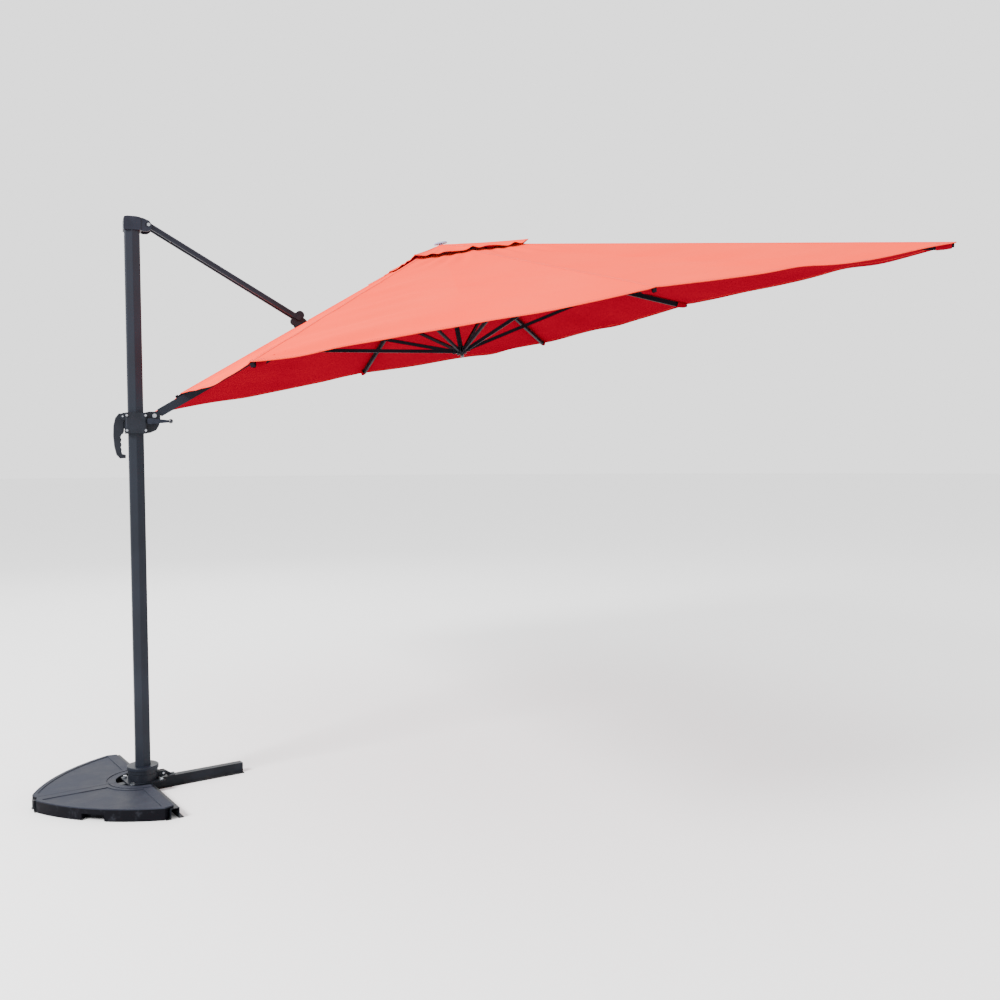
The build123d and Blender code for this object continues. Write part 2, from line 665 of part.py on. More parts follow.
def skin(from_share, to_share, edge_lift):
    """Flat panels between the ribs, from one share of the way down to another."""
    turns = sorted(a["azimuth"] % 360 for a in arms.values())
    rings = []
    corners = (from_share, 0, 0), (to_share, 1, 0), (to_share, 1, cloth), (from_share, 0, cloth)
    for share, raised, down in corners:
        rings.append([skin_point(a, share, raised * edge_lift(a) - down) for a in turns])
    faces = []
    for i in range(8):
        j = (i + 1) % 8
        for k in range(4):
            a, b = rings[k], rings[(k + 1) % 4]
            faces.append(make_face(Polyline(a[i], b[i], b[j], close=True)))
            faces.append(make_face(Polyline(a[i], b[j], a[j], close=True)))
    return hub_frame.location * Solid(Shell(faces))


def canopy():
    """The main cloth, with its vent opening and the slit for the stay bracket."""
    slit = boom_frame.location * box(822, 912, -21, 21, -10, 110)
    return skin(vent_share, 1.0, lambda azimuth: 0) - slit


def vent_flap():
    return skin(0.012, flap_share, lambda azimuth: vent_rest if 90 < azimuth < 200 else vent_lift)


os.makedirs("parts", exist_ok=True)
nodes = {}
nodes["cross_beam_long"], nodes["cross_beam_short"] = cross_beams()
nodes["slab_rear"], rear_filling = slab(arm_turn + 90)
nodes["slab_front"], front_filling = slab(arm_turn + 180)
nodes["slab_fillings"] = group(Location(), rear_filling, front_filling)
nodes["foot_plate"] = foot_plate()
nodes["foot_bolts"] = foot_bolts()
nodes["foot_collar"] = foot_collar()
nodes["mast_spindle"] = mast_spindle()
nodes["pedal_pin"] = pedal_pin()
nodes["swivel_pedal"] = swivel_pedal()
nodes["mast_flange"] = mast_flange()
nodes["mast_bush"] = mast_bush()
nodes["mast_tube"] = mast_tube()
nodes["mast_cap"] = mast_cap()
nodes["stay_top_pin"] = stay_top_pin()
nodes["stay_bars"] = stay_bars()
nodes["stay_spacer"] = stay_spacer()
nodes["stay_end_studs"] = stay_end_studs()
nodes["carriage_shell_near"], nodes["carriage_shell_far"] = carriage_shells()
nodes["carriage_screws"] = carriage_screws()
nodes["carriage_liner"] = carriage_liner()
nodes["boom_pivot_pin"] = boom_pivot_pin()
nodes["handle_pin"] = handle_pin()
nodes["release_handle"] = release_handle()
nodes["brake_shoe"] = brake_shoe()
nodes["winch_drum"] = winch_drum()
nodes["crank_arm"] = crank_arm()
nodes["crank_knob"] = crank_knob()
nodes["boom_tube"] = boom_tube()
nodes["stay_bracket"] = stay_bracket()
nodes["canopy_rail"] = canopy_rail()
nodes["strut_lug"] = strut_lug()
nodes["lift_cord"] = lift_cord()
nodes["hub"] = hub()
nodes["rib_pins"] = rib_pins()
nodes["hub_pin"] = hub_pin()
nodes["pole"] = pole()
nodes["pole_ball"] = pole_ball()
nodes["finial"] = finial()
nodes["runner"] = runner()
for name, arm in arms.items():
    if name != "mast":
        nodes["rib_" + name] = rib(arm)
    nodes["strut_" + name] = strut(arm)
nodes["canopy"] = canopy()
nodes["vent_flap"] = vent_flap()
for name, shape in nodes.items():
    export_step(shape, f"parts/{name}.step")
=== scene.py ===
import json
import math
import bmesh
import bpy
import numpy as np
from mathutils import Matrix, Vector


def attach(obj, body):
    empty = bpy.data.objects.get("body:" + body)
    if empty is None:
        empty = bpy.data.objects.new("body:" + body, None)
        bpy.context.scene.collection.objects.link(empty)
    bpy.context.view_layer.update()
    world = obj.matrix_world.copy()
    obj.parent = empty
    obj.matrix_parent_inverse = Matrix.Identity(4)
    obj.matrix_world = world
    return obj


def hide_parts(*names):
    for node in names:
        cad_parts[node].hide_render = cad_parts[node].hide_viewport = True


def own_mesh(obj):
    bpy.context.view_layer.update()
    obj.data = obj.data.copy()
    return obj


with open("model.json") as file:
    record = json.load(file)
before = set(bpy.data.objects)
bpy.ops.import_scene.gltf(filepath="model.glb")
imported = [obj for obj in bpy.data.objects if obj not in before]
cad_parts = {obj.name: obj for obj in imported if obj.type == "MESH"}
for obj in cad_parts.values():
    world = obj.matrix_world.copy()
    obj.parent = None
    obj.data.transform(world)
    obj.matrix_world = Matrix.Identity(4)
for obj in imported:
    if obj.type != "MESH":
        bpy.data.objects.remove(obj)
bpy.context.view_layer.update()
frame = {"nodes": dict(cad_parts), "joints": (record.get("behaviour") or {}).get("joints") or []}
joints = {joint["name"]: joint for joint in frame["joints"]}
print("frame loaded:", len(frame["nodes"]), "nodes")


# camera, lights and floor
viewValues = {
    "place": (-0.314, -5.200, 1.620), "yaw": 23.16, "pitch": -2.44, "roll": -0.33,  # metres, degrees from +Y
    "lens": 36.49, "floorRadius": 90.0, "skyStrength": 1.9,
}
lightValues = {
    "keyLight": dict(place=(-7.0, -3.2, 7.4), size=3.2, power=2300, aim=(1.2, 0, 1.6)),
    "fillLight": dict(place=(7.5, -5.0, 5.0), size=6.0, power=260, aim=(1.2, 0, 1.6)),
    "backLight": dict(place=(1.0, 8.0, 6.5), size=6.0, power=300, aim=(1.0, 0, 1.8)),
}


def hexColour(code):  # sRGB hex to the linear colour a shader wants
    parts = [int(code[i:i + 2], 16) / 255 for i in (1, 3, 5)]
    return tuple(c / 12.92 if c <= 0.04045 else ((c + 0.055) / 1.055) ** 2.4 for c in parts) + (1.0,)


def link(obj):
    bpy.context.scene.collection.objects.link(obj)
    return obj


def makeCamera():
    v = viewValues
    yaw, pitch, roll = (math.radians(v[k]) for k in ("yaw", "pitch", "roll"))
    ahead = Vector((math.sin(yaw) * math.cos(pitch), math.cos(yaw) * math.cos(pitch), math.sin(pitch)))
    level = Vector((math.cos(yaw), -math.sin(yaw), 0))
    up = level.cross(ahead)
    side = level * math.cos(roll) + up * math.sin(roll)
    up = up * math.cos(roll) - level * math.sin(roll)
    turn = Matrix((side, up, -ahead)).transposed().to_4x4()
    camera = link(bpy.data.objects.new("camera", bpy.data.cameras.new("camera")))
    camera.matrix_world = Matrix.Translation(v["place"]) @ turn
    camera.data.lens = v["lens"]
    camera.data.sensor_width = 36.0
    camera.data.clip_end = 400
    bpy.context.scene.camera = camera


def makeLights():
    for name, v in lightValues.items():
        lamp = bpy.data.lights.new(name, "AREA")
        lamp.shape, lamp.size, lamp.energy = "DISK", v["size"], v["power"]
        obj = link(bpy.data.objects.new(name, lamp))
        obj.location = v["place"]
        obj.rotation_euler = (Vector(v["aim"]) - Vector(v["place"])).to_track_quat("-Z", "Y").to_euler()
    world = bpy.data.worlds.new("paleRoom")
    world.use_nodes = True
    world.node_tree.nodes["Background"].inputs["Color"].default_value = hexColour("#ffffff")
    world.node_tree.nodes["Background"].inputs["Strength"].default_value = viewValues["skyStrength"]
    bpy.context.scene.world = world


def makeFloor():
    mesh = bpy.data.meshes.new("floor")
    shape = bmesh.new()
    bmesh.ops.create_circle(shape, cap_ends=True, radius=viewValues["floorRadius"], segments=96)
    shape.to_mesh(mesh)
    shape.free()
    floor = link(bpy.data.objects.new("floor", mesh))
    paper = bpy.data.materials.new("paleFloor")
    paper.use_nodes = True
    shader = paper.node_tree.nodes["Principled BSDF"]
    shader.inputs["Base Color"].default_value = hexColour("#f6f6f6")
    shader.inputs["Roughness"].default_value = 0.9
    shader.inputs["Specular IOR Level"].default_value = 0.1
    mesh.materials.append(paper)


makeCamera()
makeLights()
makeFloor()
print("camera, lights and floor made")


# materials
def addNode(tree, kind, inputs=None, **settings):
    node = tree.nodes.new(kind)
    for name, value in settings.items():
        setattr(node, name, value)
    for socket, value in (inputs or {}).items():
        if isinstance(value, bpy.types.NodeSocket):
            tree.links.new(value, node.inputs[socket])
        else:
            node.inputs[socket].default_value = value
    return node


def startMaterial(name, roughness, metallic=0.0, **sockets):
    material = bpy.data.materials.new(name)
    material.use_nodes = True
    tree = material.node_tree
    shader = tree.nodes["Principled BSDF"]
    shader.inputs["Roughness"].default_value = roughness
    shader.inputs["Metallic"].default_value = metallic
    for socket, value in sockets.items():
        shader.inputs[socket.replace("_", " ")].default_value = value
    return material, tree, shader


def placeOn(tree, source="Object", scale=(1, 1, 1)):  # coordinates a pattern reads, in metres
    place = addNode(tree, "ShaderNodeTexCoord").outputs[source]
    return addNode(tree, "ShaderNodeMapping", {"Vector": place, "Scale": scale}).outputs["Vector"]


def grain(tree, place, size, detail=2.0, roughness=0.5):  # noise whose lumps are about size metres across
    node = addNode(tree, "ShaderNodeTexNoise",
                   {"Vector": place, "Scale": 1 / size, "Detail": detail, "Roughness": roughness})
    return node.outputs["Fac"]


def between(tree, amount, low, high, fromMin=0.35, fromMax=0.65):
    node = addNode(tree, "ShaderNodeMapRange", {"Value": amount, "From Min": fromMin, "From Max": fromMax,
                                                "To Min": low, "To Max": high})
    return node.outputs["Result"]


def mixColours(tree, amount, first, second):
    node = addNode(tree, "ShaderNodeMix", data_type="RGBA")
    for socket, value in ((0, amount), (6, first), (7, second)):
        if isinstance(value, bpy.types.NodeSocket):
            tree.links.new(value, node.inputs[socket])
        else:
            node.inputs[socket].default_value = value
    return node.outputs[2]


def addBump(tree, shader, layers):  # layers of (height socket, strength, depth in metres)
    normal = None
    for height, strength, depth in layers:
        inputs = {"Height": height, "Strength": strength, "Distance": depth}
        if normal is not None:
            inputs["Normal"] = normal
        normal = addNode(tree, "ShaderNodeBump", inputs).outputs["Normal"]
    tree.links.new(normal, shader.inputs["Normal"])


coatValues = {"colour": "#191d26", "shade": "#13161d", "peel": 0.0022, "patch": 0.35, "roughness": 0.42}


def powderCoat(name, colour, shade, roughness, specular=0.15, v=coatValues):
    # polyester powder baked on aluminium: fine orange peel, a satin sheen, slow tone changes along a tube
    material, tree, shader = startMaterial(name, roughness, Specular_IOR_Level=specular)
    place = placeOn(tree)
    tone = grain(tree, place, v["patch"], 3)
    scuff = grain(tree, placeOn(tree, scale=(1, 1, 0.25)), 0.006, 6, 0.7)
    body = mixColours(tree, between(tree, tone, 0, 1), hexColour(colour), hexColour(shade))
    worn = mixColours(tree, between(tree, scuff, 0, 0.35, 0.66, 0.8), body, hexColour("#343a45"))
    tree.links.new(worn, shader.inputs["Base Color"])
    tree.links.new(between(tree, tone, roughness - 0.05, roughness + 0.1), shader.inputs["Roughness"])
    addBump(tree, shader, [(grain(tree, place, v["peel"], 1), 0.18, 0.0004), (scuff, 0.06, 0.0003)])
    return material


def coatedSteel(name):
    # hot-rolled steel beams, bent and powder coated: duller than the tubes, dusty near the ground
    material, tree, shader = startMaterial(name, 0.5, Specular_IOR_Level=0.1)
    place = placeOn(tree)
    height = addNode(tree, "ShaderNodeSeparateXYZ", {"Vector": place}).outputs["Z"]
    nearGround, patches = between(tree, height, 1, 0, 0.0, 0.05), grain(tree, place, 0.03, 6, 0.65)
    dust = addNode(tree, "ShaderNodeMath", {0: nearGround, 1: patches}, operation="MULTIPLY").outputs[0]
    tone = between(tree, grain(tree, place, 0.12, 4), 0, 1)
    body = mixColours(tree, tone, hexColour("#181b22"), hexColour("#101217"))
    tree.links.new(mixColours(tree, between(tree, dust, 0, 0.55, 0.3, 0.75), body, hexColour("#3c3b38")),
                   shader.inputs["Base Color"])
    tree.links.new(between(tree, dust, 0.42, 0.75, 0.2, 0.7), shader.inputs["Roughness"])
    addBump(tree, shader, [(grain(tree, place, 0.003, 2), 0.22, 0.0005),
                           (grain(tree, place, 0.05, 3), 0.1, 0.0015)])
    return material


def mouldedNylon(name, colour, shade, roughness):
    # glass-filled nylon from an etched mould: even fine grain, soft grey bloom, slightly shinier high spots
    material, tree, shader = startMaterial(name, roughness, Specular_IOR_Level=0.15)
    place = placeOn(tree)
    bloom = grain(tree, place, 0.05, 5, 0.6)
    body = mixColours(tree, between(tree, bloom, 0, 1, 0.3, 0.7), hexColour(colour), hexColour(shade))
    tree.links.new(body, shader.inputs["Base Color"])
    tree.links.new(between(tree, bloom, roughness - 0.06, roughness + 0.1, 0.3, 0.7),
                   shader.inputs["Roughness"])
    spark = addNode(tree, "ShaderNodeTexVoronoi", {"Vector": place, "Scale": 1 / 0.0016}).outputs["Distance"]
    addBump(tree, shader, [(spark, 0.12, 0.0003), (grain(tree, place, 0.02, 2), 0.05, 0.001)])
    return material


def slabPlastic(name):
    # blow-moulded polyethylene shells: leathery grain, moulding waves, tops painted lighter as painted light
    # from above, sides painted near black as painted shade
    material, tree, shader = startMaterial(name, 0.55, Specular_IOR_Level=0.05)
    place = placeOn(tree)
    dust = grain(tree, place, 0.16, 7, 0.6)
    wipe = grain(tree, placeOn(tree, scale=(1, 3, 1)), 0.06, 5, 0.7)
    height = addNode(tree, "ShaderNodeSeparateXYZ", {"Vector": place}).outputs["Z"]
    # the tops' colour: lighter than the sides as painted light from above, with random tone
    fadedAndPaintedLight = mixColours(tree, between(tree, dust, 0, 1, 0.3, 0.7), hexColour("#1f212a"), hexColour("#31343d"))
    top = between(tree, height, 0, 1, 0.053, 0.057)  # metres above the ground, at the slabs' upper edge; masks the tops' painted light
    # painted light on the tops, near-black painted shade on the sides
    body = mixColours(tree, top, hexColour("#08080d"), fadedAndPaintedLight)
    tree.links.new(mixColours(tree, between(tree, wipe, 0, 0.4, 0.55, 0.8), body, hexColour("#42454d")),
                   shader.inputs["Base Color"])
    tree.links.new(between(tree, dust, 0.4, 0.68, 0.3, 0.7), shader.inputs["Roughness"])
    leather = addNode(tree, "ShaderNodeTexVoronoi", {"Vector": place, "Scale": 1 / 0.004}).outputs["Distance"]
    addBump(tree, shader, [(leather, 0.25, 0.0006), (grain(tree, place, 0.12, 2), 0.25, 0.004)])
    return material


def zincSteel(name):
    # bright zinc plate on steel pins and bolts: spangled tone, light scratches across the head
    material, tree, shader = startMaterial(name, 0.34, 1.0)
    place = placeOn(tree)
    spangle = addNode(tree, "ShaderNodeTexVoronoi", {"Vector": place, "Scale": 1 / 0.004}).outputs["Color"]
    tone = addNode(tree, "ShaderNodeRGBToBW", {"Color": spangle}).outputs[0]
    body = mixColours(tree, tone, hexColour("#a9adb2"), hexColour("#8b9097"))
    tree.links.new(body, shader.inputs["Base Color"])
    tree.links.new(between(tree, grain(tree, place, 0.003, 4), 0.25, 0.45), shader.inputs["Roughness"])
    addBump(tree, shader, [(grain(tree, placeOn(tree, scale=(1, 8, 1)), 0.002, 2), 0.1, 0.0002)])
    return material


def glossPhenolic(name, colour):
    # polished phenolic ball and caps: deep gloss with a faint flow pattern and fingerprints in the sheen
    material, tree, shader = startMaterial(name, 0.14, Coat_Weight=0.3)
    place = placeOn(tree)
    flow = grain(tree, place, 0.012, 3)
    tree.links.new(mixColours(tree, between(tree, flow, 0, 1), hexColour(colour), hexColour("#1d1f26")),
                   shader.inputs["Base Color"])
    tree.links.new(between(tree, grain(tree, place, 0.006, 5), 0.1, 0.24), shader.inputs["Roughness"])
    addBump(tree, shader, [(flow, 0.03, 0.0005)])
    return material


clothValues = {
    "thread": 0.0032,  # real threads are about 0.4 mm; drawn eight times coarser so that the weave shows
    "bandShare": 0.31,  # a wave texture's bands repeat every 0.31 / scale
    "slub": 0.05, "outerFresh": "#fa3a1e", "outerFaded": "#fb4c30",
    # underside colours: the same coral cloth, painted deep red as painted shade
    "innerPaintedShade": "#7a0217", "innerPaintedShadeFaded": "#88041a",
}


def wovenPolyester(name, freshDyeAndPaintedShade, fadedAndPaintedLight, gap, sheen, v=clothValues):
    # piece-dyed plain-weave polyester: matte, crossed threads, slubs along both threads, sun-faded patches; the
    # underside copy takes painted shade colours in place of the dye, and the gap colour is painted shade
    # between threads
    material, tree, shader = startMaterial(name, 0.8, Sheen_Weight=sheen, Sheen_Roughness=0.5,
                                           Specular_IOR_Level=0.0)
    place = placeOn(tree, "UV")
    bands = {"Vector": place, "Scale": v["bandShare"] / v["thread"], "Distortion": 0.6, "Detail": 1.0,
             "Detail Scale": 0.6}
    across, along = (addNode(tree, "ShaderNodeTexWave", bands, bands_direction=side).outputs["Fac"]
                     for side in ("X", "Y"))
    weave = addNode(tree, "ShaderNodeMath", {0: across, 1: along}, operation="MULTIPLY").outputs[0]
    slubWide = grain(tree, placeOn(tree, "UV", (1, 14, 1)), v["slub"], 3, 0.6)
    slubLong = grain(tree, placeOn(tree, "UV", (14, 1, 1)), v["slub"], 3, 0.6)
    slubs = addNode(tree, "ShaderNodeMath", {0: slubWide, 1: slubLong}, operation="ADD").outputs[0]
    sun = grain(tree, place, 0.9, 3)
    streaks, patches = between(tree, slubs, 0, 0.35, 0.8, 1.2), between(tree, sun, 0, 0.65)
    tone = addNode(tree, "ShaderNodeMath", {0: streaks, 1: patches}, operation="ADD").outputs[0]
    dyedAndPaintedShade = mixColours(tree, tone, hexColour(freshDyeAndPaintedShade), hexColour(fadedAndPaintedLight))
    # painted shade: the gap colour darkens the low grooves between the threads
    paintedGrooveShade = mixColours(tree, between(tree, weave, 0.12, 0, 0.0, 0.7), dyedAndPaintedShade, hexColour(gap))
    tree.links.new(paintedGrooveShade, shader.inputs["Base Color"])
    tree.links.new(between(tree, slubs, 0.72, 0.86, 0.8, 1.2), shader.inputs["Roughness"])
    addBump(tree, shader, [(weave, 0.25, 0.0006), (slubs, 0.12, 0.0008)])
    return material


def sewingThread(name, colour):
    # bonded polyester thread: slightly shiny twisted plies
    material, tree, shader = startMaterial(name, 0.5, Sheen_Weight=0.2)
    twist = addNode(tree, "ShaderNodeTexWave", {"Vector": placeOn(tree), "Scale": 300, "Distortion": 1.0},
                    bands_direction="DIAGONAL").outputs["Fac"]
    body = mixColours(tree, twist, hexColour(colour), hexColour("#8d1c19"))
    tree.links.new(body, shader.inputs["Base Color"])
    addBump(tree, shader, [(twist, 0.3, 0.0003)])
    return material


def castConcrete(name):
    # wet-cast concrete filling: sand, grey cement and small pores
    material, tree, shader = startMaterial(name, 0.9)
    place = placeOn(tree)
    sand = grain(tree, place, 0.002, 4, 0.7)
    pores = addNode(tree, "ShaderNodeTexVoronoi", {"Vector": place, "Scale": 1 / 0.012}).outputs["Distance"]
    body = mixColours(tree, sand, hexColour("#7d7a74"), hexColour("#a8a49c"))
    tree.links.new(body, shader.inputs["Base Color"])
    addBump(tree, shader, [(sand, 0.4, 0.0008), (pores, 0.5, 0.002)])
    return material


def braidedCord(name):
    # braided polyester cord: two crossing sets of strands
    material, tree, shader = startMaterial(name, 0.7, Sheen_Weight=0.2)
    place = placeOn(tree)
    strands = addNode(tree, "ShaderNodeTexWave", {"Vector": place, "Scale": 90, "Distortion": 2.0},
                      bands_direction="DIAGONAL").outputs["Fac"]
    body = mixColours(tree, strands, hexColour("#8f8f8a"), hexColour("#d3d2cb"))
    tree.links.new(body, shader.inputs["Base Color"])
    addBump(tree, shader, [(strands, 0.6, 0.0006)])
    return material


tubeCoat = powderCoat("powderCoatedAluminium", coatValues["colour"], coatValues["shade"],
                      coatValues["roughness"])
ribCoat = powderCoat("powderCoatedRibs", "#17131a", "#110e13", 0.5, 0.03)
poleCoat = powderCoat("glossCoatedPole", "#14151b", "#0f1015", 0.16)
beamCoat = coatedSteel("coatedSteelBeams")
nylon = mouldedNylon("mouldedNylon", "#12141a", "#191c23", 0.4)
capNylon = mouldedNylon("satinNylonCap", "#161922", "#1d212b", 0.34)
crownNylon = mouldedNylon("greyBlueCrownCap", "#7f93b5", "#93a5c2", 0.3)
ballast = slabPlastic("ballastPolyethylene")
zinc = zincSteel("zincPlatedSteel")
knobGloss = glossPhenolic("blackPhenolic", "#08090c")
clothTop = wovenPolyester("coralPolyester", clothValues["outerFresh"], clothValues["outerFaded"],
                          "#8a1006", 0.02)
# the underside: the coral cloth again; its deep red colours and darker gap colour are painted shade
clothShadedUnderside = wovenPolyester("redPolyesterPaintedShadeUnderside", clothValues["innerPaintedShade"], clothValues["innerPaintedShadeFaded"],
                            "#4a0103", 0.0)
thread = sewingThread("coralThread", "#c9473c")
concrete = castConcrete("castConcrete")
cordBraid = braidedCord("braidedCord")

nodeMaterials = {  # carried-over nodes, by the start of their names
    "cross_beam": beamCoat, "slab_f": ballast, "slab_r": ballast, "slab_fillings": concrete,
    "foot_plate": beamCoat, "foot_bolts": zinc, "foot_collar": nylon, "mast_spindle": beamCoat,
    "pedal_pin": zinc, "swivel_pedal": beamCoat, "mast_flange": tubeCoat, "mast_bush": nylon,
    "mast_tube": tubeCoat, "mast_cap": capNylon, "stay_": tubeCoat, "stay_top_pin": zinc,
    "stay_end_studs": nylon, "stay_spacer": nylon, "carriage_shell": nylon, "carriage_screws": zinc,
    "carriage_liner": nylon, "boom_pivot_pin": zinc, "handle_pin": zinc, "brake_shoe": nylon,
    "release_handle": nylon, "winch_drum": nylon, "crank_arm": capNylon, "crank_knob": knobGloss,
    "boom_tube": tubeCoat, "stay_bracket": tubeCoat, "canopy_rail": ribCoat, "strut_lug": ribCoat,
    "lift_cord": cordBraid, "hub": nylon, "hub_pin": zinc, "rib_": ribCoat, "rib_pins": zinc,
    "strut_": ribCoat,
    "pole": poleCoat, "pole_ball": knobGloss, "finial": crownNylon, "runner": nylon,
    "canopy": clothTop, "vent_flap": clothTop,
}


def dressNodes():
    for name, obj in frame["nodes"].items():
        match = max((start for start in nodeMaterials if name.startswith(start)), key=len)
        obj.data.materials.clear()
        obj.data.materials.append(nodeMaterials[match])
        obj.data.polygons.foreach_set("material_index", [0] * len(obj.data.polygons))


dressNodes()
print("materials made and put on the carried-over nodes")


# the canopy's own frame: the pole's axis, the peak and the eight rib tips
canopyValues = {
    "pivotDrop": 0.043, "ventShare": 0.16, "rows": 96, "sideCells": 26, "thickness": 0.0012,
    "hemShare": 0.0137, "seamHalf": 0.011, "slitHalf": 0.022,
    "hemSag": 0.008, "innerSag": 0.010, "scallop": 0.006, "ridge": 0.0022,
    "foldHeight": 0.013, "folds": 5.5, "puckerHeight": 0.016, "puckerReach": 0.26, "puckers": 13,
    "puckerStart": 0.035, "ventRing": 0.27, "ventRingWidth": 0.07, "ventWrinkle": 0.0055, "ridgeHalf": 0.016,
    "mergeShare": 0.004, "keepFolded": 0.035,
}
armNames = ("far", "far_left", "left", "mast_left", "mast", "mast_right", "right", "far_right")
armSides = ((1, 0), (1, 1), (0, 1), (-1, 1), (-1, 0), (-1, -1), (0, -1), (1, -1))
poleUp = -np.array(joints["runner_slide"]["axis"], float)
sideways = np.array((0.0, 1.0, 0.0))
hubBasis = np.array((np.cross(sideways, poleUp), sideways, poleUp))
ribPivots = [np.array(joints["rib_" + side + "_hinge"]["pos_m"], float) for side in ("left", "right")]
peak = (ribPivots[0] + ribPivots[1]) / 2 + poleUp * canopyValues["pivotDrop"]


def toHub(points):
    return (np.asarray(points, float) - peak) @ hubBasis.T


def fromHub(points):
    return peak + np.asarray(points, float) @ hubBasis


def nodePoints(name):
    return np.array([vertex.co for vertex in frame["nodes"][name].data.vertices], float)


def findTips(offAxis=-5, preferUpper=0.01):  # the rim point furthest along each arm, on its upper face
    rim, found = toHub(nodePoints("canopy")), []
    for sideX, sideY in armSides:
        score = rim[:, 0] * sideX if sideX else offAxis * abs(rim[:, 0])
        score = score + (rim[:, 1] * sideY if sideY else offAxis * abs(rim[:, 1])) + preferUpper * rim[:, 2]
        found.append(rim[score.argmax()])
    return np.array(found)


tips = findTips()
boomFoot = np.array(joints["boom_hinge"]["pos_m"], float)
boomAhead = np.array(joints["hub_hinge"]["pos_m"], float) - boomFoot
boomAhead /= np.linalg.norm(boomAhead)


def bodyOf(arm):
    return "boom" if arm == "mast" else "rib_" + arm


def unit(v):
    return v / np.maximum(np.linalg.norm(v, axis=-1, keepdims=True), 1e-12)


def clothShape(gore, share, turn, v=canopyValues):
    # a point of the taut cloth, in the hub's frame: share runs from peak to rim, turn across one gore
    a, b = tips[gore], tips[(gore + 1) % 8]
    span = np.linalg.norm(b - a)
    arch = np.sin(math.pi * turn)
    pulled = share * (1 - v["scallop"] * arch ** 2 * share)
    point = pulled[..., None] * ((1 - turn)[..., None] * a + turn[..., None] * b)
    corner = b if gore % 2 == 0 else a
    nearCorner = turn if gore % 2 == 0 else 1 - turn
    lift = -(v["hemSag"] + v["innerSag"] * (1 - share)) * share * span * arch
    drift = share + 0.035 * np.sin(2 * math.pi * (0.9 * turn + 0.17 * gore)) + 0.02 * np.sin(9 * turn + gore)
    strength = np.clip((share - 0.3) / 0.5, 0, 1) * arch ** 0.7 * (0.25 + 0.75 * nearCorner ** 1.5)
    lift += v["foldHeight"] * strength * np.sin(2 * math.pi * v["folds"] * drift + 1.7 * gore)
    lift += 0.5 * v["foldHeight"] * strength * np.sin(2 * math.pi * 2.3 * v["folds"] * drift + 0.6 * gore)
    away = point[..., :2] - corner[:2]
    reach = np.linalg.norm(away, axis=-1)
    bearing = np.arctan2(away[..., 1], away[..., 0])
    lift += (v["puckerHeight"] * np.exp(-reach / v["puckerReach"])
             * (1 - np.exp(-reach / v["puckerStart"])) * arch
             * np.sin(v["puckers"] * bearing + 1.3 * gore + 2.0 * np.sin(2.2 * bearing)))
    ring = np.exp(-((share - v["ventRing"]) / v["ventRingWidth"]) ** 2) * arch
    lift += v["ventWrinkle"] * ring * np.sin(2 * math.pi * (4.2 * turn + 7 * share) + gore)
    for edge in (turn, 1 - turn):
        lift += v["ridge"] * np.exp(-(edge * share * span / v["ridgeHalf"]) ** 2)
    point[..., 2] += lift
    return point


def ribGrid(index, shares, half, cells, shape=clothShape):
    # points over both half gores beside a rib; a spare column past each end gives true normals there
    columns = np.arange(-cells - 1, cells + 2)
    share = np.repeat(shares[:, None], len(columns), 1)
    points = np.zeros(share.shape + (3,))
    for gore, picked in (((index - 1) % 8, columns < 0), (index, columns >= 0)):
        span = np.linalg.norm(tips[gore] - tips[(gore + 1) % 8])
        step = abs(columns[picked])[None, :]
        first = np.minimum(half / (share[:, picked] * span), 0.25)  # at most a quarter of the gore
        turn = np.where(step <= 1, step * first, first + (0.5 - first) * (step - 1) / (cells - 1))
        points[:, picked] = shape(gore, share[:, picked], turn if gore == index else 1 - turn)
    world = fromHub(points)
    normals = unit(np.cross(np.gradient(world, axis=0), np.gradient(world, axis=1)))
    return world[:, 1:-1], normals[:, 1:-1]


def gridUv(points):  # metres along the cloth both ways, for the weave
    middle = points.shape[1] // 2
    wide = np.linalg.norm(np.diff(points, axis=1), axis=-1)
    wide = np.hstack([np.zeros((len(points), 1)), np.cumsum(wide, axis=1)])
    wide -= wide[:, middle:middle + 1]
    down = np.linalg.norm(np.diff(points[:, middle], axis=0), axis=-1)
    down = np.concatenate([[0], np.cumsum(down)])
    return np.stack([wide, np.repeat(down[:, None], points.shape[1], 1)], -1)


def meshPiece(name, verts, faces, materials, kinds, uv, loopNormals):
    mesh = bpy.data.meshes.new(name)
    mesh.from_pydata([tuple(p) for p in verts], [], faces)
    for material in materials:
        mesh.materials.append(material)
    mesh.polygons.foreach_set("material_index", kinds)
    mesh.polygons.foreach_set("use_smooth", [True] * len(faces))
    order = np.zeros(len(mesh.loops), np.int32)
    mesh.loops.foreach_get("vertex_index", order)
    mesh.uv_layers.new(name="UVMap").data.foreach_set("uv", uv[order].astype(np.float32).ravel())
    mesh.update()
    mesh.normals_split_custom_set(loopNormals)
    return link(bpy.data.objects.new(name, mesh))


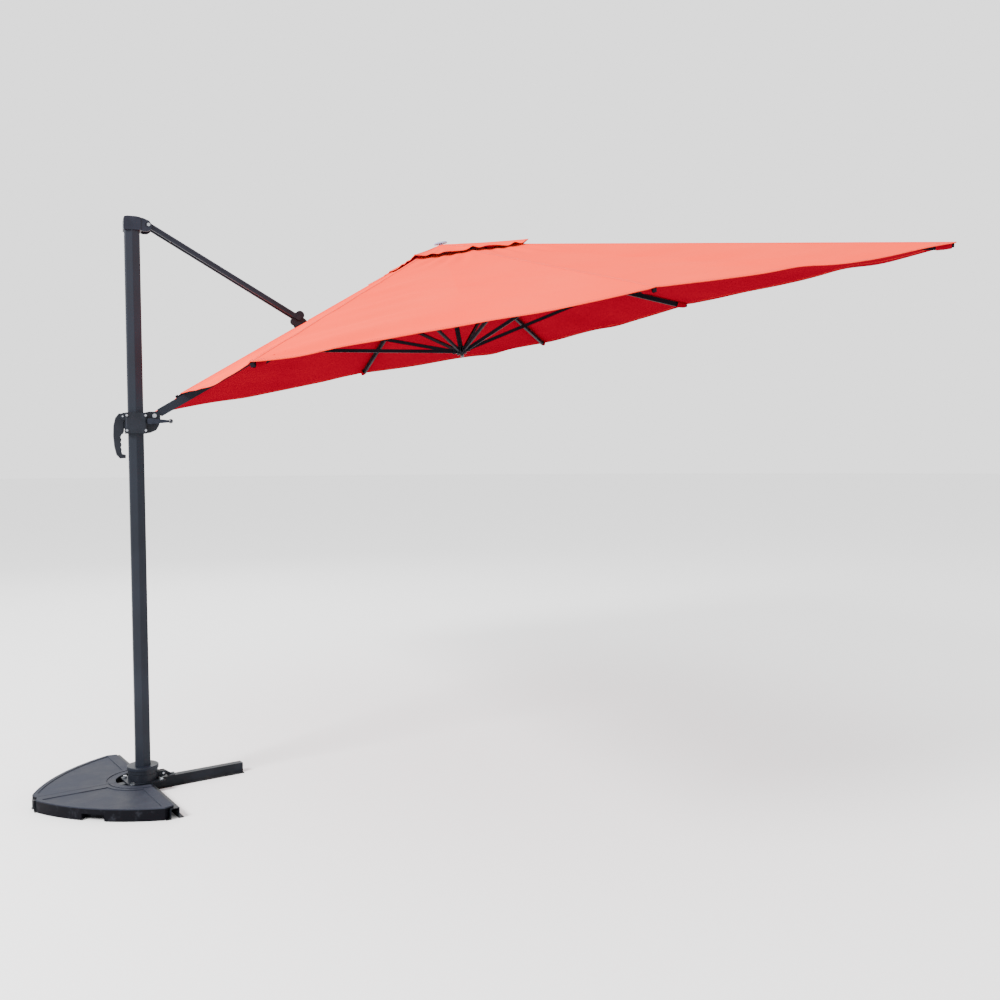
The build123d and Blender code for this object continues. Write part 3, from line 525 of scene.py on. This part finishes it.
def solidSheet(name, points, normals, raised, thickness, materials, gap=None):
    # a closed thin sheet over a grid of points, with an optional rectangular gap in its cells
    rows, cols = points.shape[:2]
    count = rows * cols
    solid = np.ones((rows - 1, cols - 1), bool)
    if gap:
        solid[gap[0]:gap[1], gap[2]:gap[3]] = False
    verts = np.vstack([(points + normals * raised).reshape(-1, 3),
                       (points + normals * (raised - thickness)).reshape(-1, 3)])
    flat = normals.reshape(-1, 3)
    faces, kinds, loopNormals = [], [], []
    for r in range(rows - 1):
        for c in range(cols - 1):
            if not solid[r, c]:
                continue
            a, b, d, e = r * cols + c, r * cols + c + 1, (r + 1) * cols + c + 1, (r + 1) * cols + c
            faces += [(a, e, d, b), (b + count, d + count, e + count, a + count)]
            # the lower face takes the last material; on the canopy, hems, vent crown and pockets that is the
            # underside's painted shade
            kinds += [0, len(materials) - 1]
            loopNormals += [tuple(flat[i]) for i in (a, e, d, b)] + [tuple(-flat[i]) for i in (b, d, e, a)]
            for p, q, beside in ((a, e, (r, c - 1)), (e, d, (r + 1, c)),
                                 (d, b, (r, c + 1)), (b, a, (r - 1, c))):
                inside = 0 <= beside[0] < rows - 1 and 0 <= beside[1] < cols - 1
                if not (inside and solid[beside]):
                    faces.append((q, p, p + count, q + count))
                    kinds.append(0)
                    loopNormals += [(0, 0, 0)] * 4
    uv = np.vstack([gridUv(points).reshape(-1, 2)] * 2)
    used = sorted({i for face in faces for i in face})
    place = {old: new for new, old in enumerate(used)}
    faces = [tuple(place[i] for i in face) for face in faces]
    return meshPiece(name, verts[used], faces, materials, kinds, uv[used], loopNormals)


def settleOnArm(piece, index):  # rides on its rib
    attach(piece, bodyOf(armNames[index]))
    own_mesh(piece)
    return piece


# stitches and rivets, each by one small node tree
stitchValues = {"Pitch": 0.009, "Stitch Length": 0.0055, "Thread Radius": 0.0006}
rivetValues = {"Head Radius": 0.0046, "Head Height": 0.0024}


def newTree(name, sockets):
    tree = bpy.data.node_groups.new(name, "GeometryNodeTree")
    tree.interface.new_socket("Geometry", in_out="INPUT", socket_type="NodeSocketGeometry")
    tree.interface.new_socket("Geometry", in_out="OUTPUT", socket_type="NodeSocketGeometry")
    for socket in sockets:
        tree.interface.new_socket(socket, in_out="INPUT", socket_type="NodeSocketFloat")
    tree.interface.new_socket("Finish", in_out="INPUT", socket_type="NodeSocketMaterial")
    return tree, tree.nodes.new("NodeGroupInput").outputs, tree.nodes.new("NodeGroupOutput")


def closeTree(tree, given, out, instances):
    real = addNode(tree, "GeometryNodeRealizeInstances", {"Geometry": instances})
    done = addNode(tree, "GeometryNodeSetMaterial",
                   {"Geometry": real.outputs[0], "Material": given["Finish"]})
    tree.links.new(done.outputs[0], out.inputs["Geometry"])
    return tree


def stitchTree():
    tree, given, out = newTree("stitchRow", stitchValues)
    row = addNode(tree, "GeometryNodeResampleCurve",
                  {"Curve": given["Geometry"], "Length": given["Pitch"]}, mode="LENGTH")
    tangent = addNode(tree, "GeometryNodeInputTangent").outputs[0]
    lay = addNode(tree, "FunctionNodeAlignRotationToVector", {"Vector": tangent}, axis="Z")
    stitch = addNode(tree, "GeometryNodeMeshCylinder",
                     {"Vertices": 6, "Radius": given["Thread Radius"], "Depth": given["Stitch Length"]})
    placed = addNode(tree, "GeometryNodeInstanceOnPoints",
                     {"Points": row.outputs[0], "Instance": stitch.outputs["Mesh"], "Rotation": lay.outputs[0]})
    return closeTree(tree, given, out, placed.outputs[0])


def rivetTree():
    tree, given, out = newTree("rivetSet", rivetValues)
    facing = addNode(tree, "GeometryNodeInputNamedAttribute", {"Name": "facing"}, data_type="FLOAT_VECTOR")
    lay = addNode(tree, "FunctionNodeAlignRotationToVector", {"Vector": facing.outputs[0]}, axis="Z")
    ball = addNode(tree, "GeometryNodeMeshUVSphere",
                   {"Segments": 14, "Rings": 8, "Radius": given["Head Radius"]})
    ratio = addNode(tree, "ShaderNodeMath",
                    {0: given["Head Height"], 1: given["Head Radius"]}, operation="DIVIDE")
    size = addNode(tree, "ShaderNodeCombineXYZ", {"X": 1.0, "Y": 1.0, "Z": ratio.outputs[0]})
    head = addNode(tree, "GeometryNodeTransform",
                   {"Geometry": ball.outputs["Mesh"], "Scale": size.outputs[0]})
    placed = addNode(tree, "GeometryNodeInstanceOnPoints",
                     {"Points": given["Geometry"], "Instance": head.outputs[0], "Rotation": lay.outputs[0]})
    return closeTree(tree, given, out, placed.outputs[0])


stitchRow, rivetSet = stitchTree(), rivetTree()


def plainMesh(name, source, tree, values, finish):  # runs a tree on a source object and keeps only the mesh
    modifier = source.modifiers.new("made", "NODES")
    modifier.node_group = tree
    for item in tree.interface.items_tree:
        if item.item_type == "SOCKET" and item.in_out == "INPUT" and item.name != "Geometry":
            modifier[item.identifier] = finish if item.name == "Finish" else values[item.name]
    bpy.context.view_layer.update()
    mesh = bpy.data.meshes.new_from_object(source.evaluated_get(bpy.context.evaluated_depsgraph_get()))
    mesh.name = name
    bpy.data.objects.remove(source)
    return link(bpy.data.objects.new(name, mesh))


def stitchPiece(name, paths):
    curve = bpy.data.curves.new(name + "Path", "CURVE")
    curve.dimensions = "3D"
    for path in paths:
        spline = curve.splines.new("POLY")
        spline.points.add(len(path) - 1)
        spline.points.foreach_set("co", np.hstack([path, np.ones((len(path), 1))]).astype(np.float32).ravel())
    return plainMesh(name, link(bpy.data.objects.new(name + "Path", curve)), stitchRow, stitchValues, thread)


def rivetPiece(name, places, facings):
    mesh = bpy.data.meshes.new(name + "Places")
    mesh.from_pydata([tuple(p) for p in places], [], [])
    mesh.attributes.new("facing", "FLOAT_VECTOR", "POINT").data.foreach_set(
        "vector", np.array(facings, np.float32).ravel())
    return plainMesh(name, link(bpy.data.objects.new(name + "Places", mesh)), rivetSet, rivetValues, zinc)


# canopy cloth: eight pairs of half gores, each beside the rib that carries it, meeting between the ribs
sewValues = {
    "tapeRise": 0.0011, "tapeThickness": 0.0009, "seamInset": 0.003, "seamThreadRise": 0.0015,
    "hemRise": 0.0008, "hemWrap": 0.0016, "hemInsets": (0.004, 0.019), "hemThreadRise": 0.0012,
    "slitRise": 0.0009, "slitStep": 0.0003, "slitWrap": 0.0018, "slitRoom": (0.004, 0.008),
}


def panelShares():
    v = canopyValues
    shares = np.linspace(v["ventShare"], 1, v["rows"] + 1)
    shares[1] = v["ventShare"] + v["hemShare"]
    shares[-2] = 1 - v["hemShare"]
    return shares


def slitShares():  # where the stay's bracket comes up through the cloth
    reach = (nodePoints("stay_bracket") - boomFoot) @ boomAhead
    before, after = sewValues["slitRoom"]
    step = fromHub(tips[armNames.index("mast")]) - peak
    return sorted((edge - (peak - boomFoot) @ boomAhead) / (step @ boomAhead)
                  for edge in (reach.min() - before, reach.max() + after))


def hemLine(points, normals, inset, raised):  # a line beside the rim, on top of the hem
    return points[-1] + unit(points[-2] - points[-1]) * inset + normals[-1] * raised


def seamPieces(name, points, normals, parts):  # a tape over the rib and the two stitch lines along it
    v, middle, pieces, lines = sewValues, points.shape[1] // 2, [], []
    for number, (start, end) in enumerate(parts):
        spine = slice(middle - 1, middle + 2)
        pieces.append(solidSheet(f"seam_{name}_{number}", points[start:end, spine], normals[start:end, spine],
                                 v["tapeRise"], v["tapeThickness"], [clothTop]))
        for side in (-1, 1):
            edge = points[start:end, middle + side]
            inward = unit(points[start:end, middle] - edge)
            raised = normals[start:end, middle + side] * v["seamThreadRise"]
            lines.append(edge + inward * v["seamInset"] + raised)
    return pieces, lines


def slitBinding(points, normals, gap):  # tapes round the slit that the stay's bracket passes
    v, (first, last, left, right) = sewValues, gap
    rows, wide = slice(first, last + 1), slice(left - 1, right + 2)
    places = ((rows, slice(left - 1, left + 1)), (rows, slice(right, right + 2)),
              (slice(first - 1, first + 1), wide), (slice(last, last + 2), wide))
    return [solidSheet(f"slit_tape_{number}", points[place], normals[place],
                       v["slitRise"] + v["slitStep"] * (number // 2),
                       canopyValues["thickness"] + v["slitWrap"], [clothTop])
            for number, place in enumerate(places)]


def sewHalf(index, name, points, normals, gap):  # cloth, both hems and their thread
    v, thickness, both = sewValues, canopyValues["thickness"], [clothTop, clothShadedUnderside]
    wrap = thickness + v["hemWrap"]
    cloth = solidSheet(name + "_cloth", points, normals, 0, thickness, both, gap)
    pieces = [solidSheet(name + "_hem", points[-2:], normals[-2:], v["hemRise"], wrap, both),
              solidSheet(name + "_binding", points[:2], normals[:2], v["hemRise"], wrap, both)]
    lines = [hemLine(points, normals, inset, v["hemThreadRise"]) for inset in v["hemInsets"]]
    pieces.append(stitchPiece(name + "_hem_stitches", lines))
    for piece in [cloth] + pieces:
        settleOnArm(piece, index)
    return cloth


def sewPanel(index, kind, node, points, normals, gap=None):  # both halves beside a rib and their seam
    name, middle = f"{kind}_{armNames[index]}", points.shape[1] // 2
    first, last = (gap[0], gap[1]) if gap else (0, 0)
    halves = ((-1, slice(0, middle + 1), (middle - 1, middle)), (1, slice(middle, None), (0, 1)))
    for side, cols, slitCols in halves:
        part, slit = name + ("_a" if side < 0 else "_b"), gap and (first, last) + slitCols
        cloth = sewHalf(index, part, points[:, cols], normals[:, cols], slit)
        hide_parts(node)
    parts = [(0, first + 1), (last, len(points))] if gap else [(0, len(points))]
    pieces, lines = seamPieces(name, points, normals, parts)
    pieces += slitBinding(points, normals, gap) if gap else []
    pieces.append(stitchPiece(name + "_seam_stitches", lines))
    for piece in pieces:
        settleOnArm(piece, index)


def makeCanopy():
    v, cells = canopyValues, canopyValues["sideCells"]
    for index, arm in enumerate(armNames):
        shares, half, gap = panelShares(), v["seamHalf"], None
        if arm == "mast":
            edges, half = slitShares(), v["slitHalf"]
            kept = [s for s in shares if min(abs(s - edge) for edge in edges) > v["mergeShare"]]
            shares = np.array(sorted(kept + edges))
            first, last = (int(abs(shares - edge).argmin()) for edge in edges)
            gap = (first, last, cells - 1, cells + 1)
        points, normals = ribGrid(index, shares, half, cells)
        sewPanel(index, "canopy", "canopy", points, normals, gap)


makeCanopy()
print("canopy cloth, hems, seams and stitches made")


# vent cover: the same eight sectors, lifted off the canopy along its edge
coverValues = {
    "firstShare": 0.012, "crownShare": 0.047, "lastShare": 0.21, "crownRows": 6, "rows": 22,
    "sideCells": 16, "hemShare": 0.012, "seamHalf": 0.006, "crownRise": 0.0004,
    "lift": (0.022, 0.022, 0.022, 0.007, 0.007, 0.021, 0.022, 0.022),  # metres above the canopy, by rib
    "wave": 0.55, "waves": 3.0, "slip": 0.45, "clear": 0.003, "crease": 0.0016, "creaseHalf": 0.009,
}


def coverShape(gore, share, turn, v=coverValues):
    a, b = tips[gore], tips[(gore + 1) % 8]
    along = np.clip((share - v["firstShare"]) / (v["lastShare"] - v["firstShare"]), 0, 1.1)
    edge = v["lift"][gore] * (1 - turn) + v["lift"][(gore + 1) % 8] * turn
    arch = np.sin(math.pi * turn)
    slip = v["slip"] * arch * np.sin(2.3 * gore + 5 * turn)
    depth = v["wave"] * (0.75 + 0.25 * np.sin(1.9 * gore + 4 * turn))
    wave = 1 - depth * (0.5 - 0.5 * np.cos(2 * math.pi * (v["waves"] * turn + slip))) - 0.25 * arch
    pulled = share * (1 - 0.012 * arch ** 2 * along)
    point = pulled[..., None] * ((1 - turn)[..., None] * a + turn[..., None] * b)
    fromRib = np.minimum(turn, 1 - turn) * share * np.linalg.norm(a - b)
    crease = v["crease"] * np.exp(-(fromRib / v["creaseHalf"]) ** 2)
    point[..., 2] += v["clear"] * along + edge * wave * along ** 1.6 + crease
    return point


def makeVentCover():  # a crown fixed to the hub, and sectors that swing down with the ribs
    v = coverValues
    shares = np.linspace(v["crownShare"], v["lastShare"], v["rows"] + 1)
    shares[-2] = v["lastShare"] - v["hemShare"]
    crownShares = np.linspace(v["firstShare"], v["crownShare"], v["crownRows"] + 1)
    for index, arm in enumerate(armNames):
        points, normals = ribGrid(index, shares, v["seamHalf"], v["sideCells"], coverShape)
        sewPanel(index, "vent_cover", "vent_flap", points, normals)
        points, normals = ribGrid(index, crownShares, v["seamHalf"] / 2, v["sideCells"], coverShape)
        crown = solidSheet("vent_crown_" + arm, points, normals, v["crownRise"], canopyValues["thickness"],
                           [clothTop, clothShadedUnderside])
        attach(crown, "hub")
        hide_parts("vent_flap")


makeVentCover()
print("vent cover made")


# pockets that hold the rib ends
pocketValues = {
    "length": 0.062, "short": 0.016, "mouthHalf": 0.021, "endHalf": 0.013, "mouthDepth": 0.029,
    "endDepth": 0.021, "clear": 0.0030, "thickness": 0.0014, "pleat": 0.0022, "pleats": 6.0,
    "rows": 22, "cells": 30,
}


def makePocket(index):
    v, tip = pocketValues, tips[index]
    out = tip / np.linalg.norm(tip)
    bearing = unit(tip * (1, 1, 0))
    side = np.array((-bearing[1], bearing[0], 0))
    down = np.cross(out, side) * -1
    along = np.linspace(0, 1, v["rows"])[:, None]
    swing = np.linspace(1, -1, v["cells"])[None, :]
    half = v["mouthHalf"] + (v["endHalf"] - v["mouthHalf"]) * along ** 0.8
    depth = v["mouthDepth"] + (v["endDepth"] - v["mouthDepth"]) * along
    deep = depth * (1 - abs(swing) ** 3.5)
    fold = (v["pleat"] * np.sin(v["pleats"] * math.pi * swing + 3 * along + index)
            * np.sin(math.pi * along) ** 0.5)
    points = (tip + out * ((along - 1) * v["length"] - v["short"])[..., None]
              + side * (half * swing)[..., None]
              + down * (deep + v["clear"] + fold * (1 - abs(swing) ** 6))[..., None])
    world = fromHub(points)
    normals = unit(np.cross(np.gradient(world, axis=0), np.gradient(world, axis=1)))
    # pockets sit under the canopy and take the underside's painted shade all over
    pocket = solidSheet("pocket_" + armNames[index], world, normals, 0, v["thickness"], [clothShadedUnderside])
    settleOnArm(pocket, index)


for index, arm in enumerate(armNames):
    if arm != "mast":
        makePocket(index)
print("pockets made")


# rivet heads on the struts' hinges
def makeRivets():
    for arm in armNames:
        name = "strut_" + arm
        place = np.array(joints[name + "_hinge"]["pos_m"], float)
        axis = unit(np.array(joints[name + "_hinge"]["axis"], float))
        reach = (nodePoints(name) - place) @ axis
        ends = [place + axis * reach.max(), place + axis * reach.min()]
        piece = rivetPiece("rivets_" + arm, ends, [axis, -axis])
        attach(piece, name)


makeRivets()
print("rivets made")
